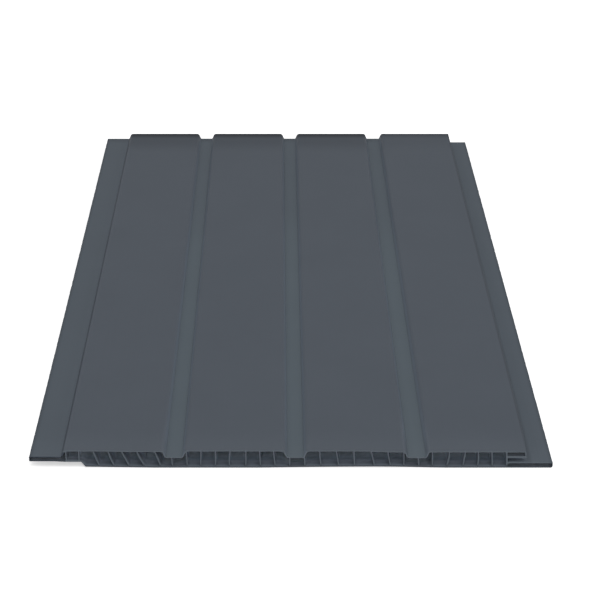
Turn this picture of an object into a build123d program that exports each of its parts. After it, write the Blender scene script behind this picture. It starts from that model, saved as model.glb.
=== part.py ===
"""Hollow wall panel: one extruded strip of rigid PVC, sawn square at both ends.

The cover face has raised planks with flat grooves between them. A tongue runs along the left edge. Along the
right edge a slot opens under the last plank, above a flange through which the panel is screwed to the wall.
Slot and tongue have one fit, so that a row of panels locks together and every joint looks much like a groove.

All sizes are in millimetres. In the section, x counts from the outer edge of the tongue and z from the wall
side. The finished panel lies with its wall side down, Y along its length and the origin under its middle.
"""
import os

from build123d import *

# The whole panel
panel_length = 500.0
panel_thickness = 10.0

# Cover face
plank_count = 4
plank_pitch = 62.5
groove_floor_width = 8.3
groove_depth = 3.8
plank_wall_run = 1.7
shoulder_radius = 2.3
groove_foot_radius = 0.4

# Joint with the next panel: the gap left between the two outermost planks, and the tongue in its slot
joint_width = 9.1
tongue_engagement = 7.3
tongue_end_room = 2.7
tongue_clearance = 0.1
slot_height = 2.9
slot_corner_radius = 0.3

# Free edge of the last plank, above the slot
edge_wall_run = 0.6
edge_shoulder_radius = 0.5
mouth_radius = 0.3

# Tongue
tongue_nose_radius = 0.4
tongue_skin_thickness = 0.5

# Screw flange
flange_reach = 12.6
flange_top_radius = 0.4
flange_bottom_radius = 1.2
flange_skin_thickness = 0.5

# Step in the wall side that makes room for the neighbour's flange
step_clearance = 6.7
step_slope_run = 2.4
step_radius = 0.6

# Skins and webs
skin_thickness = 0.8
web_thickness = 0.55
first_web_inset = 2.8
# Chambers between the first web and the last before the slot, in groups of equal width from left to right
chamber_counts = (1, 5, 11, 3, 8)
chamber_widths = (6.6, 8.1, 7.6, 9.05, 7.7)
# How much further left the webs of each group stand at the cover face than at the wall side
web_leans = (0.0, 3.8, 0.3, 1.2, -0.4)

# Heights that follow from the sizes above
groove_level = panel_thickness - groove_depth
slot_floor = groove_level - slot_height
tongue_top = groove_level - tongue_clearance
tongue_bottom = slot_floor + tongue_clearance

# Places across the width, counted from the outer edge of the tongue
tongue_reach = joint_width + tongue_engagement
plank_feet = [tongue_reach + n * plank_pitch for n in range(plank_count)]
# One panel covers a whole number of pitches of the wall, so the last plank makes room for the joint
cover_width = plank_count * plank_pitch
mouth = tongue_reach + cover_width - joint_width
slot_end = mouth - tongue_engagement - tongue_end_room
flange_edge = mouth + flange_reach
step_edge = flange_edge - cover_width + step_clearance


def outline_corners():
    """Corners of the outer outline as (x, z, radius), along the cover face and back along the wall side."""
    corners = [
        (0, tongue_bottom, tongue_nose_radius),
        (0, tongue_top, tongue_nose_radius),
        (tongue_reach, tongue_top, groove_foot_radius),
        (tongue_reach + plank_wall_run, panel_thickness, shoulder_radius),
    ]
    for right in plank_feet[1:]:
        left = right - groove_floor_width
        corners += [
            (left - plank_wall_run, panel_thickness, shoulder_radius),
            (left, groove_level, groove_foot_radius),
            (right, groove_level, groove_foot_radius),
            (right + plank_wall_run, panel_thickness, shoulder_radius),
        ]
    corners += [
        (mouth - edge_wall_run, panel_thickness, edge_shoulder_radius),
        (mouth, groove_level, mouth_radius),
        (slot_end, groove_level, slot_corner_radius),
        (slot_end, slot_floor, slot_corner_radius),
        (flange_edge, slot_floor, flange_top_radius),
        (flange_edge, 0, flange_bottom_radius),
        (step_edge + step_slope_run, 0, step_radius),
        (step_edge, tongue_bottom, step_radius),
    ]
    return corners


def webs():
    """Webs as (centre line at half height, lean), from beside the tongue to the last before the slot."""
    place = tongue_reach + first_web_inset
    found = [(place, 0.0)]
    for count, width, lean in zip(chamber_counts, chamber_widths, web_leans):
        for _ in range(count):
            place += width
            found.append((place, lean))
    return found


def web_face(place, lean):
    """One web as a slanting strip through the whole thickness."""
    half = web_thickness / 2
    foot = place + lean / 2
    head = place - lean / 2
    return Polygon(
        (foot - half, 0),
        (foot + half, 0),
        (head + half, panel_thickness),
        (head - half, panel_thickness),
        align=None,
    )


def box_face(left, low, right, high):
    """Upright rectangle of the section between two corners."""
    width = right - left
    height = high - low
    return Pos((left + right) / 2, (low + high) / 2) * Rectangle(width, height)


def outer_face():
    """The section without its chambers."""
    corners = outline_corners()
    points = [(x, z) for x, z, _ in corners]
    radii = [radius for _, _, radius in corners]
    return make_face(FilletPolyline(*points, radius=radii, close=True))


def chamber_faces(outer):
    """Everything hollow in the section: the space inside the skins, cut up by the webs."""
    tongue_hollow = box_face(
        tongue_skin_thickness,
        tongue_bottom + tongue_skin_thickness,
        tongue_reach + first_web_inset,
        tongue_top - tongue_skin_thickness,
    )
    flange_hollow = box_face(
        slot_end,
        flange_skin_thickness,
        flange_edge - flange_skin_thickness,
        slot_floor - skin_thickness,
    )
    hollow = offset(outer, amount=-skin_thickness, kind=Kind.INTERSECTION)
    hollow = hollow + tongue_hollow + flange_hollow
    for place, lean in webs():
        hollow -= web_face(place, lean)
    hollow -= box_face(slot_end - skin_thickness, 0, slot_end, panel_thickness)
    return hollow


def wall_panel():
    """The section extruded along Y, centred over the origin with its wall side down."""
    outer = outer_face()
    section = outer - chamber_faces(outer)
    section = Pos(-flange_edge / 2, 0) * section
    upright = Plane(origin=(0, panel_length / 2, 0), x_dir=(1, 0, 0), z_dir=(0, -1, 0))
    return extrude(upright * section, amount=panel_length)


os.makedirs("parts", exist_ok=True)
export_step(wall_panel(), "parts/wall_panel.step")
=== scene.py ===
"""Hollow wall panel of anthracite PVC, lying on its wall side on a white studio floor.

The panel's sizes are in millimetres, as on the maker's drawing, and become metres where its mesh is filled.
In its section, x counts from the outer edge of the tongue and z from the wall side. y counts from the middle
of the length, and its low end is the near end. Floor, lamp and camera are in metres.
"""

import math

import bpy
import numpy as np
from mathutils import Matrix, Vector
from mathutils.geometry import delaunay_2d_cdt


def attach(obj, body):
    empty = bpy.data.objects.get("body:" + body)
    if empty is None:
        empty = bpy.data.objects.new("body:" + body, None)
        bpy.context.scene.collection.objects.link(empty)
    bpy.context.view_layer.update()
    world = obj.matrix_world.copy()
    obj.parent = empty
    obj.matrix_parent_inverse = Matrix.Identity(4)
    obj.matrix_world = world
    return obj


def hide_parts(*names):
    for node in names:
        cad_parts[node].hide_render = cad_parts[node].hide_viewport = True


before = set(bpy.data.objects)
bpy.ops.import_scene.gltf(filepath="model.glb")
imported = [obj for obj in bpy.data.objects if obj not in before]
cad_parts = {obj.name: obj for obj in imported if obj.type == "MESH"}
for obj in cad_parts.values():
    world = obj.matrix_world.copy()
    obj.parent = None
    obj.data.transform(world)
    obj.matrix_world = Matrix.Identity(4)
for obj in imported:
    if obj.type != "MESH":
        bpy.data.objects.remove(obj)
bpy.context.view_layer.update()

# The panel: one strip of rigid PVC, extruded in one go with its skins and webs, anthracite right through.
# It has four raised planks, three grooves, a tongue on the left and a slot above a screw flange on the right,
# and a saw has cut it square at both ends.
MM = 0.001
panel_length = 500.0
panel_thickness = 10.0
groove_level = 6.2
slot_floor = 3.3
tongue_top = 6.1
tongue_bottom = 3.4
tongue_reach = 16.4
plank_count = 4
plank_pitch = 62.5
plank_wall_run = 1.7
groove_floor_width = 8.3
plank_feet = tongue_reach + plank_pitch * np.arange(plank_count)
groove_starts = plank_feet[1:] - groove_floor_width
mouth = 257.3
edge_wall_run = 0.6
slot_end = 247.3
flange_edge = 269.9
step_edge = 26.6
step_slope_run = 2.4
cover_skin_thickness = 0.55
skin_thickness = 0.8
shelf_thickness = 1.1
thin_skin_thickness = 0.5
web_thickness = 0.55
tongue_nose_radius = 0.4
groove_foot_radius = 0.4
shoulder_radius = 2.3
edge_shoulder_radius = 0.5
slot_radius = 0.3
flange_top_radius = 0.4
flange_bottom_radius = 1.2
step_radius = 0.6

# Corners of the outline as x, z and the radius of the rounding, along the cover face and back underneath
tongue_corners = [
    (0, tongue_bottom, tongue_nose_radius),
    (0, tongue_top, tongue_nose_radius),
    (tongue_reach, tongue_top, groove_foot_radius),
]
plank_corners = [(tongue_reach + plank_wall_run, panel_thickness, shoulder_radius)]
for groove_start, plank_foot in zip(groove_starts, plank_feet[1:]):
    plank_corners += [
        (groove_start - plank_wall_run, panel_thickness, shoulder_radius),
        (groove_start, groove_level, groove_foot_radius),
        (plank_foot, groove_level, groove_foot_radius),
        (plank_foot + plank_wall_run, panel_thickness, shoulder_radius),
    ]
slot_corners = [
    (mouth - edge_wall_run, panel_thickness, edge_shoulder_radius),
    (mouth, groove_level, slot_radius),
    (slot_end, groove_level, slot_radius),
    (slot_end, slot_floor, slot_radius),
]
underside_corners = [
    (flange_edge, slot_floor, flange_top_radius),
    (flange_edge, 0, flange_bottom_radius),
    (step_edge + step_slope_run, 0, step_radius),
    (step_edge, tongue_bottom, step_radius),
]
corners = np.array(tongue_corners + plank_corners + slot_corners + underside_corners, float)


def rounded_outline(points, radii, arc_points, lead):
    """Closed outline through the points, each corner rounded by an arc of its own radius.

    The arc begins radius / tan(half the corner's angle) from the corner on both of its runs. Its points turn
    evenly about a centre radius / sin(half angle) along the bisector. One more point stands just outside each
    end of the arc, so that the flat beside it is shaded flat.
    """
    back = np.roll(points, 1, axis=0) - points
    ahead = np.roll(points, -1, axis=0) - points
    back /= np.linalg.norm(back, axis=1, keepdims=True)
    ahead /= np.linalg.norm(ahead, axis=1, keepdims=True)
    half = np.arccos(np.clip((back * ahead).sum(1), -1, 1)) / 2
    reach = (radii / np.tan(half))[:, None]
    bisector = back + ahead
    bisector /= np.linalg.norm(bisector, axis=1, keepdims=True)
    centre = points + bisector * (radii / np.sin(half))[:, None]
    start = (points + back * reach - centre)[:, None]
    end = (points + ahead * reach - centre)[:, None]
    turn = (np.pi - 2 * half)[:, None, None]
    t = np.linspace(0, 1, arc_points)[None, :, None]
    arc = (np.sin((1 - t) * turn) * start + np.sin(t * turn) * end) / np.sin(turn) + centre[:, None]
    before = (points + back * (reach + lead))[:, None]
    after = (points + ahead * (reach + lead))[:, None]
    return np.concatenate([before, arc, after], axis=1).reshape(-1, 2)


def divided(outline, spacing):
    """The same closed outline with each run cut into equal parts no longer than the spacing."""
    run = np.roll(outline, -1, axis=0) - outline
    count = np.maximum(1, np.ceil(np.linalg.norm(run, axis=1) / spacing)).astype(int)
    first = np.repeat(np.arange(len(outline)), count)
    step = np.arange(count.sum()) - np.repeat(np.cumsum(count) - count, count)
    return outline[first] + run[first] * (step / count[first])[:, None]


outline = rounded_outline(corners[:, :2], corners[:, 2], arc_points=6, lead=0.12)
on_wall_side = outline[:, 1] < 0.001
wall_side_spacing = 9.0
face_spacing = 2.6
outline = divided(outline, np.where(on_wall_side, wall_side_spacing, face_spacing))

# Webs between the skins: centre line at half height, how much further left each stands at the cover face than
# at the wall side, and how far its middle bows to the right. They drooped a little as the profile cooled.
webs = np.array([
    (19.2, 0.2, 0.0), (25.8, 0.0, 0.0), (34.6, 3.3, 0.1), (42.4, 3.4, -0.2), (49.7, 4.2, 0.1),
    (57.7, 4.4, -0.2), (66.2, 3.3, 0.3), (73.4, 1.2, 0.1), (81.2, 0.6, 0.1), (88.6, -0.2, -0.1),
    (96.0, -0.3, 0.2), (103.5, -0.5, -0.3), (111.7, -0.1, 0.0), (119.1, 0.6, -0.1), (126.4, 1.1, 0.0),
    (134.2, 0.0, 0.1), (141.9, 0.6, 0.0), (150.1, 0.9, -0.1), (158.9, 1.4, 0.1), (167.6, 0.4, -0.1),
    (177.1, 2.0, 0.1), (185.5, 1.8, 0.0), (193.2, 0.2, 0.1), (200.7, 0.4, -0.1), (207.7, 0.2, 0.0),
    (215.9, -1.4, 0.2), (224.2, -1.2, -0.1), (231.2, -0.3, 0.3), (238.5, 0.5, 0.1),
])

# How far parts of the near end have moved once sawn, and how far along the panel that reaches
step_lift = 0.66
middle_lift = 0.7
tongue_spring = 0.34
lift_reach = 45.0
first_plank_sag = 0.3
right_half_sag = 0.54
third_groove_held_back = 0.42
sag_reach = 35.0
lip_shift = 0.75
pinch_reach = 16.0

# How far the die has set the third groove's walls aside, and where they and the middle of the groove are
third_groove_left_shift = 0.3
third_groove_right_shift = 0.5
third_groove_left_wall = 195.4
third_groove_right_wall = 204.2
third_groove_middle = 199.9


def bell(distance, width):
    """1 at distance 0, falling away on both sides as e to the minus (distance / width) squared."""
    return np.exp(-((distance / width) ** 2))


def rising(x, start, over):
    """0 up to the start, then straight up to 1 over this width."""
    return np.clip((x - start) / over, 0, 1)


def falling(x, over, end):
    """1, then straight down to 0 at the end, over this width before it."""
    return np.clip((end - x) / over, 0, 1)


def quarter_wave(part):
    """Sine of a quarter turn times the part, so that a straight rise from 0 to 1 flattens out at its top."""
    return np.sin(np.pi / 2 * part)


def behind_near_end(y, reach):
    """1 at the near end, falling away behind it as half a bell."""
    return bell(y + panel_length / 2, reach)


def wall_side_lift(x, y):
    """Height by which the thin wall-side skin has sprung up behind the saw cut at the near end.

    It is step_lift beside the step and falls nearly evenly from x = 28 to 66. Further right it follows a
    quarter of a sine wave up to middle_lift, from x = 118 to 180, and another one back down to x = 211.
    """
    beside_step = step_lift * falling(x, over=38.0, end=66.0) ** 1.1 * (x > step_edge)
    hump = np.minimum(rising(x, start=118.0, over=62.0), falling(x, over=31.0, end=211.0))
    return (beside_step + middle_lift * quarter_wave(hump)) * behind_near_end(y, lift_reach)


def tongue_lift(x, y):
    """Height by which the tongue has sprung up at the near end, from nothing at its root."""
    return tongue_spring * falling(x, over=6.0, end=19.0) * behind_near_end(y, lift_reach)


def cover_sag(x, y):
    """Depth by which the warm saw has let the cover face sag at the near end.

    On the left it is a hump of first_plank_sag over the end of the first plank. On the right it grows over
    the third plank as a quarter of a sine wave to right_half_sag and stays so up to the lip, apart from the
    third groove, which a flat-topped bell holds back.
    """
    hump = np.minimum(rising(x, start=40.0, over=18.0), falling(x, over=6.0, end=72.0))
    on_third_groove = np.exp(-(((x - third_groove_middle) / 6.0) ** 8))
    right_sag = right_half_sag - third_groove_held_back * on_third_groove
    right_part = rising(x, start=174.0, over=16.0)
    sag = first_plank_sag * quarter_wave(hump) + right_sag * quarter_wave(right_part)
    return sag * behind_near_end(y, sag_reach)


def lip_pinch(x, y):
    """Distance by which the sawn lip, and the end of the slot behind it, stand further in at the near end."""
    around_slot = np.minimum(rising(x, start=243.0, over=4.0), falling(x, over=4.0, end=262.5))
    return lip_shift * around_slot * behind_near_end(y, pinch_reach)


def third_groove_spread(x):
    """Shift to the right, in one bell round each wall of the third groove, so that the groove is wider."""
    to_right = third_groove_right_shift * bell(x - third_groove_right_wall, width=2.5)
    to_left = third_groove_left_shift * bell(x - third_groove_left_wall, width=2.5)
    return to_right - to_left


def as_extruded(x, y, z, edge_wear):
    """Moves points of the drawn section to where the real panel has them, and returns them in metres.

    The wall side rises by wall_side_lift, less and less up to lift_height, and the tongue by tongue_lift.
    The cover side sinks by cover_sag, in part above 4 mm height and in full above 6 mm, and its skin by
    web_sink more over each web. Sideways, the lip moves by lip_pinch and the third groove's walls by
    third_groove_spread. edge_wear, a row of values for each long edge, moves that edge inwards.
    """
    lift_height = 5.0
    lift = wall_side_lift(x, y) * np.clip(1 - z / lift_height, 0, 1) + tongue_lift(x, y)
    sag = cover_sag(x, y) * rising(z, start=4.0, over=2.0)
    web_sink = 0.01
    web_heads = webs[:, 0] - webs[:, 1] / 2
    over_web = bell(x[..., None] - web_heads, width=1.3).sum(-1)
    sink = web_sink * over_web * rising(z, start=9.5, over=0.4)
    worn = edge_wear[0] * bell(x, width=0.7) - edge_wear[1] * bell(flange_edge - x, width=0.7)
    shift = worn - lip_pinch(x, y) + third_groove_spread(x)
    moved = np.stack([x + shift - flange_edge / 2, y, z + lift - sag - sink], axis=-1)
    return moved * MM


def grid_faces(rows, columns, first):
    """Quads of a grid that closes along its columns, as indices from the first vertex onwards."""
    i, j = np.meshgrid(np.arange(rows - 1), np.arange(columns), indexing="ij")
    k = (j + 1) % columns
    this_row, next_row = i * columns, (i + 1) * columns
    quads = np.stack([this_row + j, this_row + k, next_row + k, next_row + j], axis=-1)
    return quads.reshape(-1, 4) + first


# The outer skin, a row of the outline every 2.5 mm of length. The saw guide and the stacking of panels have
# left the two long edges slightly ragged.
rows = 201
mean_wear = 0.06
wear_spread = 0.05
most_wear = 0.2
random = np.random.default_rng(11)
ragged = np.clip(random.normal(mean_wear, wear_spread, (2, rows)), 0, most_wear)
length_rows = np.linspace(-panel_length / 2, panel_length / 2, rows)
skin_x, skin_y = np.meshgrid(outline[:, 0], length_rows)
skin_z = np.broadcast_to(outline[:, 1], skin_x.shape)
skin_points = as_extruded(skin_x, skin_y, skin_z, ragged[:, :, None])
skin_faces = grid_faces(rows, len(outline), 0)

# The chambers. Each runs the whole length between two walls, and its ceiling and floor follow the skins. A
# wall is given as centre line, lean, bow and half thickness. The walls are the webs, the one behind the
# slot, and the skins that end the chambers in the tongue, over the slot and in the flange.
slot_wall_inset = 0.1
slot_wall_lean = 0.5
web_walls = np.column_stack([webs, np.full(len(webs), web_thickness / 2)])
tongue_end = (thin_skin_thickness, 0, 0, 0)
slot_wall = (slot_end - slot_wall_inset - skin_thickness / 2, slot_wall_lean, 0, skin_thickness / 2)
edge_lean = edge_wall_run / (panel_thickness - groove_level) * panel_thickness
edge_inset = skin_thickness / math.sin(math.atan2(panel_thickness - groove_level, edge_wall_run))
edge_place = mouth + (groove_level - panel_thickness / 2) * edge_lean / panel_thickness - edge_inset
plank_end = (edge_place, edge_lean, 0, 0)
flange_end = (flange_edge - thin_skin_thickness, 0, 0, 0)
left_walls = np.vstack([tongue_end, web_walls, slot_wall, slot_wall])
right_walls = np.vstack([web_walls, slot_wall, plank_end, flange_end])
chambers = len(left_walls)
in_tongue = np.arange(chambers) == 0
over_slot = np.arange(chambers) == chambers - 2
in_flange = np.arange(chambers) == chambers - 1


def inset(points, depth):
    """Points of the outline moved inwards, square to it, by the depth."""
    along = np.roll(points, -1, axis=0) - np.roll(points, 1, axis=0)
    along /= np.linalg.norm(along, axis=1, keepdims=True)
    return points + np.column_stack([along[:, 1], -along[:, 0]]) * depth


last_on_cover = np.flatnonzero((outline[:, 0] < mouth) & (outline[:, 1] > panel_thickness - 0.1))[-1]
ceiling_line = inset(outline, cover_skin_thickness)[:last_on_cover + 1]
ceiling_line = ceiling_line[np.argsort(ceiling_line[:, 0])]


def ceiling(x):
    """Height of the chambers' ceilings: the inset of the cover face, or the skins over tongue and flange."""
    level = np.interp(x, ceiling_line[:, 0], ceiling_line[:, 1])
    level = np.where(in_tongue[:, None] & (x < tongue_reach), tongue_top - thin_skin_thickness, level)
    return np.where(in_flange[:, None], slot_floor - skin_thickness, level)


def floor_level(x):
    """Height of the chambers' floors: the inset of the wall side, with its slope beside the step."""
    slope_length = math.hypot(step_slope_run, tongue_bottom)
    rise = (step_edge + step_slope_run - x) * tongue_bottom / step_slope_run
    level = rise + skin_thickness * slope_length / step_slope_run
    level = np.clip(level, skin_thickness, tongue_bottom + skin_thickness)
    level = np.where(in_tongue[:, None], tongue_bottom + thin_skin_thickness, level)
    level = np.where(over_slot[:, None], groove_level + shelf_thickness, level)
    return np.where(in_flange[:, None], thin_skin_thickness, level)


def rounded_square(arc_points, side_points, top_points):
    """Unit square with round corners, anticlockwise, as four rows: u = a + b * radius and v = c + d * radius.

    On an arc, b and d are 1 less the cosine and the sine of the angle, mirrored to the corner. On a side
    s runs from 0 to 1 between the arcs, so that u = s + (1 - 2 s) * radius.
    """
    angle = np.linspace(0, np.pi / 2, arc_points)
    small, large = 1 - np.cos(angle), 1 - np.sin(angle)
    none, one = np.zeros(arc_points), np.ones(arc_points)
    s = np.linspace(0, 1, side_points + 2)[1:-1]
    t = np.linspace(0, 1, top_points + 2)[1:-1]
    side, top = 1 - 2 * s, 1 - 2 * t
    return np.concatenate([
        np.stack([none, small, none, large]),
        np.stack([s, side, 0 * s, 0 * s]),
        np.stack([one, -large, none, small]),
        np.stack([1 + 0 * s, 0 * s, s, side]),
        np.stack([one, -small, one, -large]),
        np.stack([1 - t, -top, 1 + 0 * t, 0 * t]),
        np.stack([none, large, one, -small]),
        np.stack([0 * s, 0 * s, 1 - s, -side]),
    ], axis=1)


def wall_face(walls, height, side):
    """Where a wall's face stands at a height, with side 1 for its right face and -1 for its left one.

    It is the centre line, plus the lean times how far the height lies below the middle, plus the bow times
    half a sine wave over the thickness of the panel, plus half the wall's thickness to that side.
    """
    place, lean, bow, half = walls.T[:, :, None]
    part = height / panel_thickness
    return place + lean * (0.5 - part) + bow * np.sin(np.pi * part) + side * half


# A ring of points round each chamber. Where a wall stands depends on the height, and how high a skin lies
# depends on the place, so the two are worked out in turn until they agree.
root_radius = 0.25
a, b, c, d = rounded_square(arc_points=4, side_points=5, top_points=12)
middle = (left_walls[:, 0] + right_walls[:, 0])[:, None] / 2
width = (right_walls[:, 0] - right_walls[:, 3] - left_walls[:, 0] - left_walls[:, 3])[:, None]
height = ceiling(middle) - floor_level(middle)
u = a + b * root_radius / width
v = c + d * root_radius / height
ring_x = np.broadcast_to(middle, u.shape)
ring_z = floor_level(ring_x) + v * (ceiling(ring_x) - floor_level(ring_x))
for _ in range(4):
    left_face = wall_face(left_walls, ring_z, 1)
    right_face = wall_face(right_walls, ring_z, -1)
    ring_x = left_face + u * (right_face - left_face)
    ring_z = floor_level(ring_x) + v * (ceiling(ring_x) - floor_level(ring_x))

# The rings repeat along the length, closer together where the near end has sprung
from_near_end = np.array([0.0, 4.0, 12.0, 24.0, 40.0, 65.0, 100.0, 250.0, 400.0, 500.0])
chamber_rows = from_near_end - panel_length / 2
loop = ring_x.shape[1]
chamber_shape = (chambers, len(chamber_rows), loop)
chamber_x = np.broadcast_to(ring_x[:, None], chamber_shape)
chamber_y = np.broadcast_to(chamber_rows[None, :, None], chamber_shape)
chamber_z = np.broadcast_to(ring_z[:, None], chamber_shape)
chamber_points = as_extruded(chamber_x, chamber_y, chamber_z, (0.0, 0.0))
ring_height = ceiling(ring_x) - floor_level(ring_x)
chamber_height = np.broadcast_to(ring_height[:, None], chamber_shape)
chamber_faces = np.concatenate([
    grid_faces(len(chamber_rows), loop, rows * len(outline) + n * len(chamber_rows) * loop)
    for n in range(chambers)
])

points = np.concatenate([skin_points.reshape(-1, 3), chamber_points.reshape(-1, 3)])


def sawn_end(row):
    """Triangles that close one end, row 0 or -1: everything inside the outline and outside the chambers."""
    outer = np.arange(len(outline))[::-1] + (rows + row) % rows * len(outline)
    chamber_row = (len(chamber_rows) + row) % len(chamber_rows)
    first = rows * len(outline) + (np.arange(chambers) * len(chamber_rows) + chamber_row) * loop
    rings = [outer] + [start + np.arange(loop) for start in first]
    rim = np.concatenate(rings)
    flat = [Vector(p) for p in (points[rim][:, [0, 2]] / MM).tolist()]
    starts = np.cumsum([0] + [len(ring) for ring in rings])
    bounds = [list(range(lo, hi)) for lo, hi in zip(starts[:-1], starts[1:])]
    only_inside, nearest = 1, 1e-6
    _, _, faces, kept, _, inside = delaunay_2d_cdt(flat, [], bounds, only_inside, nearest)
    triangles = np.array([[kept[k][0] for k in f] for f, where in zip(faces, inside) if where == [0]])
    a, b, c = (points[rim][triangles[:, k]][:, [0, 2]] for k in range(3))
    turns_left = np.cross(b - a, c - a) > 0
    triangles = np.where(turns_left[:, None] == (row == 0), triangles, triangles[:, ::-1])
    return rim[triangles]


near_end, far_end = sawn_end(0), sawn_end(-1)
faces = skin_faces.tolist() + chamber_faces.tolist() + near_end.tolist() + far_end.tolist()
panel_mesh = bpy.data.meshes.new("extruded_panel")
panel_mesh.from_pydata(points.tolist(), [], faces)
panel_mesh.polygons.foreach_set("use_smooth", np.ones(len(faces), bool))


def keep_for_material(name, domain, values):
    """Stores a value for each face or point, which the material reads by this name."""
    panel_mesh.attributes.new(name, "FLOAT", domain).data.foreach_set("value", values.astype(np.float32))


face_kind = np.repeat([0, 1, 2], [len(skin_faces), len(chamber_faces), len(near_end) + len(far_end)])
keep_for_material("chamber", "FACE", face_kind == 1)
keep_for_material("sawn", "FACE", face_kind == 2)
skin_height = np.full(len(points) - chamber_height.size, panel_thickness)
keep_for_material("height", "POINT", np.concatenate([skin_height, chamber_height.reshape(-1)]))
panel_mesh.set_sharp_from_angle(angle=math.radians(50))
panel_mesh.update()
panel = bpy.data.objects.new("extruded_panel", panel_mesh)
bpy.context.scene.collection.objects.link(panel)

# Anthracite PVC: satin and smooth on the skins, with faint lines along the length from the die. A painted
# highlight makes the ends a little paler, and painted light makes the chambers' walls paler, for the light
# that strays down them.
pvc = bpy.data.materials.new("anthracite_pvc")
pvc.use_nodes = True
tree = pvc.node_tree
shader = tree.nodes["Principled BSDF"]


def node(kind, inputs=(), **settings):
    """Adds a node to the tree at hand, sets what is given by name, and joins or fills its inputs in order.

    None leaves an input as it is.
    """
    made = tree.nodes.new(kind)
    for name, value in settings.items():
        setattr(made, name, value)
    for socket, value in zip(made.inputs, inputs):
        if isinstance(value, bpy.types.NodeSocket):
            tree.links.new(value, socket)
        elif value is not None:
            socket.default_value = value
    return made


def maths(operation, *values):
    """One step of arithmetic."""
    return node("ShaderNodeMath", values, operation=operation).outputs[0]


def product(first, *others):
    """All the values multiplied."""
    for other in others:
        first = maths("MULTIPLY", first, other)
    return first


def smooth_step(value, start, end, before=0, after=1):
    """Goes from one number to another, in a smooth step, as the value goes from the start to the end."""
    inputs = (value, start, end, before, after)
    return node("ShaderNodeMapRange", inputs, interpolation_type="SMOOTHSTEP").outputs[0]


def band(value, start, full, fading, end):
    """0 outside start and end, 1 from full to fading, and smooth steps between them."""
    return maths("SUBTRACT", smooth_step(value, start, full), smooth_step(value, fading, end))


def less(part, most):
    """Factor that goes from 1 to 1 - most as the part goes from 0 to 1."""
    return maths("MULTIPLY_ADD", part, -most, 1.0)


def around(level, pattern, depth):
    """Number that a pattern from 0 to 1 moves round the level, by half the depth each way."""
    return maths("MULTIPLY_ADD", pattern, depth, level - depth / 2)


def noise(place, scale, detail, roughness):
    """Soft irregular pattern between 0 and 1."""
    return node("ShaderNodeTexNoise", (place, None, scale, detail, roughness)).outputs[0]


def tint(part, below, above):
    """Colour that goes from the first to the second as the part goes from 0 to 1."""
    number_and_vector_inputs = [None] * 5
    inputs = (part, *number_and_vector_inputs, below, above)
    return node("ShaderNodeMix", inputs, data_type="RGBA").outputs[2]


def scaled(colour, factor):
    """The colour times the factor."""
    return node("ShaderNodeVectorMath", (colour, None, None, factor), operation="SCALE").outputs[0]


def mesh_value(name):
    """Value that the mesh keeps under this name."""
    return node("ShaderNodeAttribute", attribute_name=name).outputs["Fac"]


# The planks' own colour, then painted light for low strips, groove floors and walls, painted shade for the
# outermost walls, painted light in the slot, a painted highlight, and painted shade on the saw cut.
plank_colour = (0.082, 0.095, 0.114, 1)
low_strip_painted_light_colour = (0.085, 0.101, 0.120, 1)
groove_painted_light_colour = (0.097, 0.119, 0.138, 1)
wall_painted_light_colour = (0.144, 0.171, 0.207, 1)
outer_wall_painted_shade_colour = (0.062, 0.073, 0.090, 1)
slot_mouth_painted_light_colour = (0.112, 0.130, 0.158, 1)
slot_deep_painted_light_colour = (0.48, 0.55, 0.65, 1)
highlight_colour = (0.119, 0.139, 0.162, 1)
low_cut_painted_shade_colour = (0.080, 0.089, 0.106, 1)
dark_end_painted_shade_colour = (0.050, 0.061, 0.081, 1)

# The place on the panel in mm: from the tongue's outer edge, above the wall side, and from both ends
coordinates = node("ShaderNodeTexCoord").outputs
place = coordinates["Object"]
across, along, up = node("ShaderNodeSeparateXYZ", (place,)).outputs
facing_right, _, facing_up = node("ShaderNodeSeparateXYZ", (coordinates["Normal"],)).outputs
from_left = maths("MULTIPLY_ADD", across, 1 / MM, flange_edge / 2)
above_wall_side = maths("MULTIPLY", up, 1 / MM)
from_near = maths("MULTIPLY_ADD", along, 1 / MM, panel_length / 2)
from_far = maths("MULTIPLY_ADD", along, -1 / MM, panel_length / 2)
from_end = maths("MINIMUM", from_near, from_far)
steep = smooth_step(facing_up, 0.995, 0.95)
near_part = smooth_step(from_near, 25.0, 0.5)
far_half = smooth_step(from_far, 230.0, 130.0)

# The skins: planks, the low strips of tongue and flange, the grooves' walls and floors, the two outermost
# walls, and the slot. Painted light makes the low strips, the grooves' walls and floors and the slot paler
# against their shade, and painted shade makes the two outermost walls darker. The grooves' walls get less of
# the painted light in the far half, and at the near end where they face right or belong to the third groove.
on_raised = smooth_step(above_wall_side, groove_level + 0.4, groove_level + 0.7)
colour = tint(on_raised, low_strip_painted_light_colour, plank_colour)

# Groove walls: painted light against their shade, less where they face right and in the third groove
wall_heights = (groove_level, groove_level + 0.5, panel_thickness - 2.0, panel_thickness)
third_start, third_end = groove_starts[2], plank_feet[3]
third_groove_span = (third_start - 6.6, third_start - 4.6, third_end + 4.1, third_end + 6.1)
third_groove_weight = 1.6
less_painted_wall_light = smooth_step(facing_right, 0.1, 0.4)
less_painted_wall_light = maths("MULTIPLY_ADD", band(from_left, *third_groove_span), third_groove_weight, less_painted_wall_light)
less_painted_wall_light = product(less_painted_wall_light, near_part)
wall_painted_light = product(band(above_wall_side, *wall_heights), steep)
wall_painted_light = product(wall_painted_light, less(far_half, most=0.2), less(less_painted_wall_light, most=0.25))
colour = tint(wall_painted_light, colour, wall_painted_light_colour)

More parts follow.
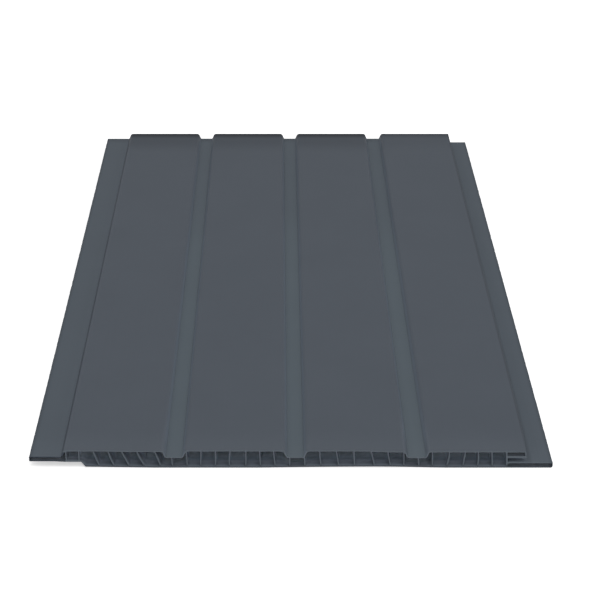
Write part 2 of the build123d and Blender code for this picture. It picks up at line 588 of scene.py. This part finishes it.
# Groove floors: painted light against the shade between the planks, less in the far half
grooves_span = (tongue_reach + 1.6, tongue_reach + 3.6, slot_end - 2.8, slot_end - 1.8)
floor_heights = (groove_level - 0.4, groove_level - 0.2, groove_level, groove_level + 0.3)
groove_painted_light = product(band(from_left, *grooves_span), band(above_wall_side, *floor_heights))
groove_painted_light = product(groove_painted_light, less(far_half, most=0.6))
colour = tint(groove_painted_light, colour, groove_painted_light_colour)

# The two outermost walls: painted shade
outer_heights = (groove_level, groove_level + 0.2, panel_thickness - 1.5, panel_thickness - 0.2)
left_outermost = smooth_step(from_left, tongue_reach + 3.3, tongue_reach + 3.1)
right_outermost = smooth_step(from_left, mouth - 2.3, mouth - 2.1)
outer_wall_painted_shade = product(maths("MAXIMUM", left_outermost, right_outermost), steep)
outer_wall_painted_shade = product(outer_wall_painted_shade, band(above_wall_side, *outer_heights))
colour = tint(outer_wall_painted_shade, colour, outer_wall_painted_shade_colour)

# Slot: painted light for the light that strays into it, paler deeper in
slot_span = (slot_end - 0.1, slot_end, mouth - 2.8, mouth + 0.2)
slot_heights = (slot_floor - 0.1, slot_floor, groove_level + 0.1, groove_level + 0.2)
slot_part = product(band(from_left, *slot_span), band(above_wall_side, *slot_heights))
slot_painted_light = tint(smooth_step(from_end, 0.0, 6.5), slot_mouth_painted_light_colour, slot_deep_painted_light_colour)
colour = tint(slot_part, colour, slot_painted_light)

# Painted highlight along the near end
near_highlight = 0.15
colour = tint(product(near_part, near_highlight), colour, highlight_colour)

# Painted shade: the planks darken towards the far end, less so the last one, and the far edge has a darker
# line.
# The long edges and the lip are painted darker too. Painted light makes the flange's face and the tongue's
# root a little paler, against the shade beside the lip and the first plank.
far_shade_depth, far_line_depth, more_on_planks, less_on_last = 0.20, 0.17, 0.26, 0.6
last_plank = product(smooth_step(from_left, third_start + 0.9, third_end + 6.1), less_on_last)
on_planks = smooth_step(above_wall_side, panel_thickness - 2.5, panel_thickness - 2.0)
on_planks = maths("SUBTRACT", on_planks, last_plank)
far_painted_shade = product(smooth_step(from_far, 44.0, 17.0), maths("MAXIMUM", on_planks, 0.0), far_shade_depth)
far_painted_shade_line = maths("MULTIPLY_ADD", on_planks, more_on_planks, far_line_depth)
far_painted_shade_line = product(smooth_step(from_far, 11.5, 3.0), far_painted_shade_line)

# Painted shade along both long edges and beside the lip
edge_depth, lip_to_edge = 0.22, 1.15
from_long_edge = maths("MINIMUM", from_left, maths("SUBTRACT", flange_edge, from_left))
lip_painted_shade = smooth_step(from_left, mouth - 2.0, mouth - 0.8)
lip_painted_shade = product(lip_painted_shade, smooth_step(above_wall_side, groove_level, groove_level + 0.2), lip_to_edge)
edge_painted_shade = product(maths("MAXIMUM", smooth_step(from_long_edge, 2.7, 0.3), lip_painted_shade), edge_depth)

# Painted light on the flange's face, most beside the lip
flange_paleness, more_beside_lip = 0.04, 0.11
on_flange_top = smooth_step(above_wall_side, slot_floor + 2.7, slot_floor + 0.7)
on_flange_top = product(on_flange_top, smooth_step(from_left, mouth + 1.3, mouth + 2.7))
beside_lip = smooth_step(from_left, mouth + 6.7, mouth - 0.1)
flange_painted_light = product(on_flange_top, maths("MULTIPLY_ADD", beside_lip, more_beside_lip, flange_paleness))

# Painted light on the tongue's root, beside the first plank
root_paleness = 0.08
root_span = (tongue_reach - 4.4, tongue_reach - 0.1, tongue_reach + 0.2, tongue_reach + 0.8)
above_root = smooth_step(above_wall_side, groove_level + 0.3, groove_level + 0.5)
root_painted_light = maths("MAXIMUM", maths("SUBTRACT", root_paleness, above_root), 0.0)
root_painted_light = product(band(from_left, *root_span), root_painted_light)

# Painted shade and painted light together, as one factor on the colour
darker = maths("ADD", maths("ADD", far_painted_shade, far_painted_shade_line), edge_painted_shade)
paler = maths("ADD", flange_painted_light, root_painted_light)
painted_shading = maths("ADD", maths("SUBTRACT", 1.0, darker), paler)

# The saw cut: a painted highlight, painted shade along its lower edge, and the darkest painted shade where
# tongue and flange end
above_low_cut = smooth_step(above_wall_side, skin_thickness + 0.6, skin_thickness + 1.2)
cut_colour = tint(above_low_cut, low_cut_painted_shade_colour, highlight_colour)
# Darkest painted shade where the hollow tongue and flange end
tongue_cut = smooth_step(above_wall_side, panel_thickness - 0.6, panel_thickness - 1.4)
tongue_cut = product(tongue_cut, smooth_step(from_left, tongue_reach + 2.4, tongue_reach + 2.0))
flange_cut_heights = (0.4, 1.0, slot_floor - 0.8, slot_floor - 0.4)
flange_cut = smooth_step(from_left, slot_end, slot_end + 0.4)
flange_cut = product(flange_cut, band(above_wall_side, *flange_cut_heights))
cut_colour = tint(maths("MAXIMUM", tongue_cut, flange_cut), cut_colour, dark_end_painted_shade_colour)
sawn = mesh_value("sawn")
colour = tint(sawn, colour, cut_colour)

# Colour of a chamber's walls, painted paler for the light that strays down it, by how far they lie behind the
# saw cut, as a multiple of the chamber's own height. The low chambers in tongue and flange and over the slot
# get less of this painted light.
chamber_colours = [
    (0.00, (0.138, 0.160, 0.192, 1)),
    (0.18, (0.140, 0.164, 0.193, 1)),
    (0.30, (0.141, 0.162, 0.195, 1)),
    (0.43, (0.181, 0.203, 0.245, 1)),
    (0.55, (0.258, 0.288, 0.345, 1)),
    (0.72, (0.385, 0.435, 0.515, 1)),
    (0.78, (0.355, 0.405, 0.475, 1)),
    (0.92, (0.455, 0.525, 0.595, 1)),
    (1.05, (0.565, 0.650, 0.725, 1)),
    (1.17, (0.685, 0.755, 0.830, 1)),
    (1.30, (0.780, 0.840, 0.900, 1)),
    (1.55, (0.850, 0.900, 0.950, 1)),
]
own_height = mesh_value("height")
deepest = chamber_colours[-1][0]
heights_deep = maths("DIVIDE", from_end, own_height)
by_depth = node("ShaderNodeValToRGB", (maths("DIVIDE", heights_deep, deepest),))
stops = by_depth.color_ramp.elements
stops[0].color = chamber_colours[0][1]
stops[1].color = chamber_colours[-1][1]
for heights, stop_colour in chamber_colours[1:-1]:
    stops.new(heights / deepest).color = stop_colour
by_height = smooth_step(own_height, 1.5, 7.5, before=0.52, after=1.0)
colour = tint(mesh_value("chamber"), colour, scaled(by_depth.outputs["Color"], by_height))

# The faint lines from the die, in colour, gloss and relief, and a slight mottle
long_and_thin = (900.0, 2.0, 900.0)
line_place = node("ShaderNodeMapping", (place, None, None, long_and_thin)).outputs[0]
die_lines = noise(line_place, scale=1.0, detail=3.0, roughness=0.55)
mottle = noise(place, scale=22.0, detail=4.0, roughness=0.6)
shade = product(around(1.0, mottle, depth=0.10), around(1.0, die_lines, depth=0.06), painted_shading)
tree.links.new(scaled(colour, shade), shader.inputs["Base Color"])
skin_roughness, cut_roughness = 0.50, 0.75
roughness = maths("MAXIMUM", around(skin_roughness, die_lines, depth=0.08), product(sawn, cut_roughness))
tree.links.new(roughness, shader.inputs["Roughness"])
shader.inputs["Specular IOR Level"].default_value = 0.02
relief = node("ShaderNodeBump")
relief.inputs["Strength"].default_value = 0.12
relief.inputs["Distance"].default_value = 0.00004
tree.links.new(die_lines, relief.inputs["Height"])
tree.links.new(relief.outputs[0], shader.inputs["Normal"])
panel_mesh.materials.append(pvc)

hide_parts("wall_panel")
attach(panel, "root")

# The floor: a plain white sheet, far wider than the view. The glow that only the camera sees makes it white
# all over, apart from the panel's shadow.
half = 4.0
floor_corners = [(-half, -half, 0), (half, -half, 0), (half, half, 0), (-half, half, 0)]
floor_mesh = bpy.data.meshes.new("studio_floor")
floor_mesh.from_pydata(floor_corners, [], [(0, 1, 2, 3)])
studio_floor = bpy.data.objects.new("studio_floor", floor_mesh)
bpy.context.scene.collection.objects.link(studio_floor)
white = bpy.data.materials.new("studio_white")
white.use_nodes = True
tree = white.node_tree
shader = tree.nodes["Principled BSDF"]
shader.inputs["Base Color"].default_value = (0.86, 0.86, 0.86, 1)
shader.inputs["Roughness"].default_value = 0.9
shader.inputs["Specular IOR Level"].default_value = 0.0
shader.inputs["Emission Color"].default_value = (1, 1, 1, 1)


def seen_directly():
    """1 for rays from the camera, straight or through gloss or glass, and 0 for rays that carry light."""
    rays = node("ShaderNodeLightPath").outputs
    through = maths("MAXIMUM", rays["Is Glossy Ray"], rays["Is Transmission Ray"])
    return maths("MAXIMUM", rays["Is Camera Ray"], through)


floor_glow = 0.55
tree.links.new(maths("MULTIPLY", seen_directly(), floor_glow), shader.inputs["Emission Strength"])
floor_mesh.materials.append(white)

# Light: an even white studio, and a large softbox above and in front of the near end. The background that
# the camera sees is white.
world = bpy.data.worlds.new("studio")
bpy.context.scene.world = world
world.use_nodes = True
tree = world.node_tree
background = tree.nodes["Background"]
background.inputs["Color"].default_value = (1, 1, 1, 1)
ambient_level = 0.61
strength = maths("MULTIPLY_ADD", seen_directly(), 1 - ambient_level, ambient_level)
tree.links.new(strength, background.inputs["Strength"])

lamp_data = bpy.data.lights.new("softbox", "AREA")
lamp_data.shape = "RECTANGLE"
lamp_data.size = 1.6
lamp_data.size_y = 1.2
lamp_data.energy = 12.6
lamp = bpy.data.objects.new("softbox", lamp_data)
lamp.location = (0.2, -1.0, 1.6)
lamp.rotation_euler = (Vector((0, 0, 0)) - lamp.location).to_track_quat("-Z", "Y").to_euler()
bpy.context.scene.collection.objects.link(lamp)

# Camera: level across, looking down on the panel from beyond its near end.
picture_pixels = 592.0
focal_pixels = 1910.0
shift_pixels = 18.9
degrees_down = 23.784
camera_data = bpy.data.cameras.new("camera")
camera_data.sensor_width = 36.0
camera_data.lens = camera_data.sensor_width * focal_pixels / picture_pixels
camera_data.shift_x = shift_pixels / picture_pixels
camera = bpy.data.objects.new("camera", camera_data)
camera.location = (-0.00715, -1.1160, 0.47847)
camera.rotation_euler = (math.radians(90 - degrees_down), 0, 0)
bpy.context.scene.collection.objects.link(camera)
bpy.context.scene.camera = camera
bpy.context.scene.view_settings.view_transform = "Standard"
